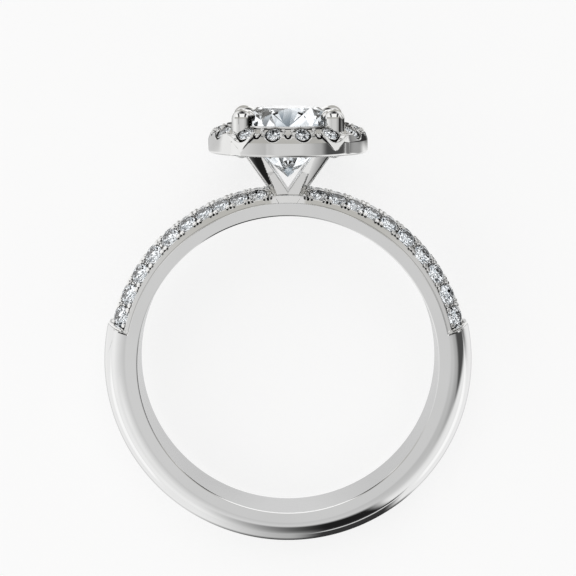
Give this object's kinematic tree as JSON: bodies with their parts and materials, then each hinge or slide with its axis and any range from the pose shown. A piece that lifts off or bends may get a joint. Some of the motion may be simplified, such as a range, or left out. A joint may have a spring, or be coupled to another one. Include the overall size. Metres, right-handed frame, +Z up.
{
  "type": "halo ring",
  "caption": "Ring with a round centre stone in claws, a round scalloped halo, paved shoulders and a plain domed band; it rests on its side.",
  "frame": {"origin": "middle of the bounding box, on the surface that the ring lies on", "axes": "+Z up from the surface; +Y from the bottom of the shank towards the head; +X across the ring. The finger axis leans 7.6 degrees from Z, because the ring rests on the edge of its halo and on the far side of its shank"},
  "size_m": [0.0204, 0.0244, 0.0087],
  "materials": {
    "white_metal": "mirror polished white gold",
    "centre_stone": "clear faceted diamond",
    "small_stones": "small clear faceted diamonds held by white metal beads"
  },
  "bodies": {
    "root": {"mounting": "white_metal", "centre_stone": "centre_stone", "halo_stones": "small_stones", "shoulder_stones_left": "small_stones", "shoulder_stones_right": "small_stones"}
  },
  "joints": []
}
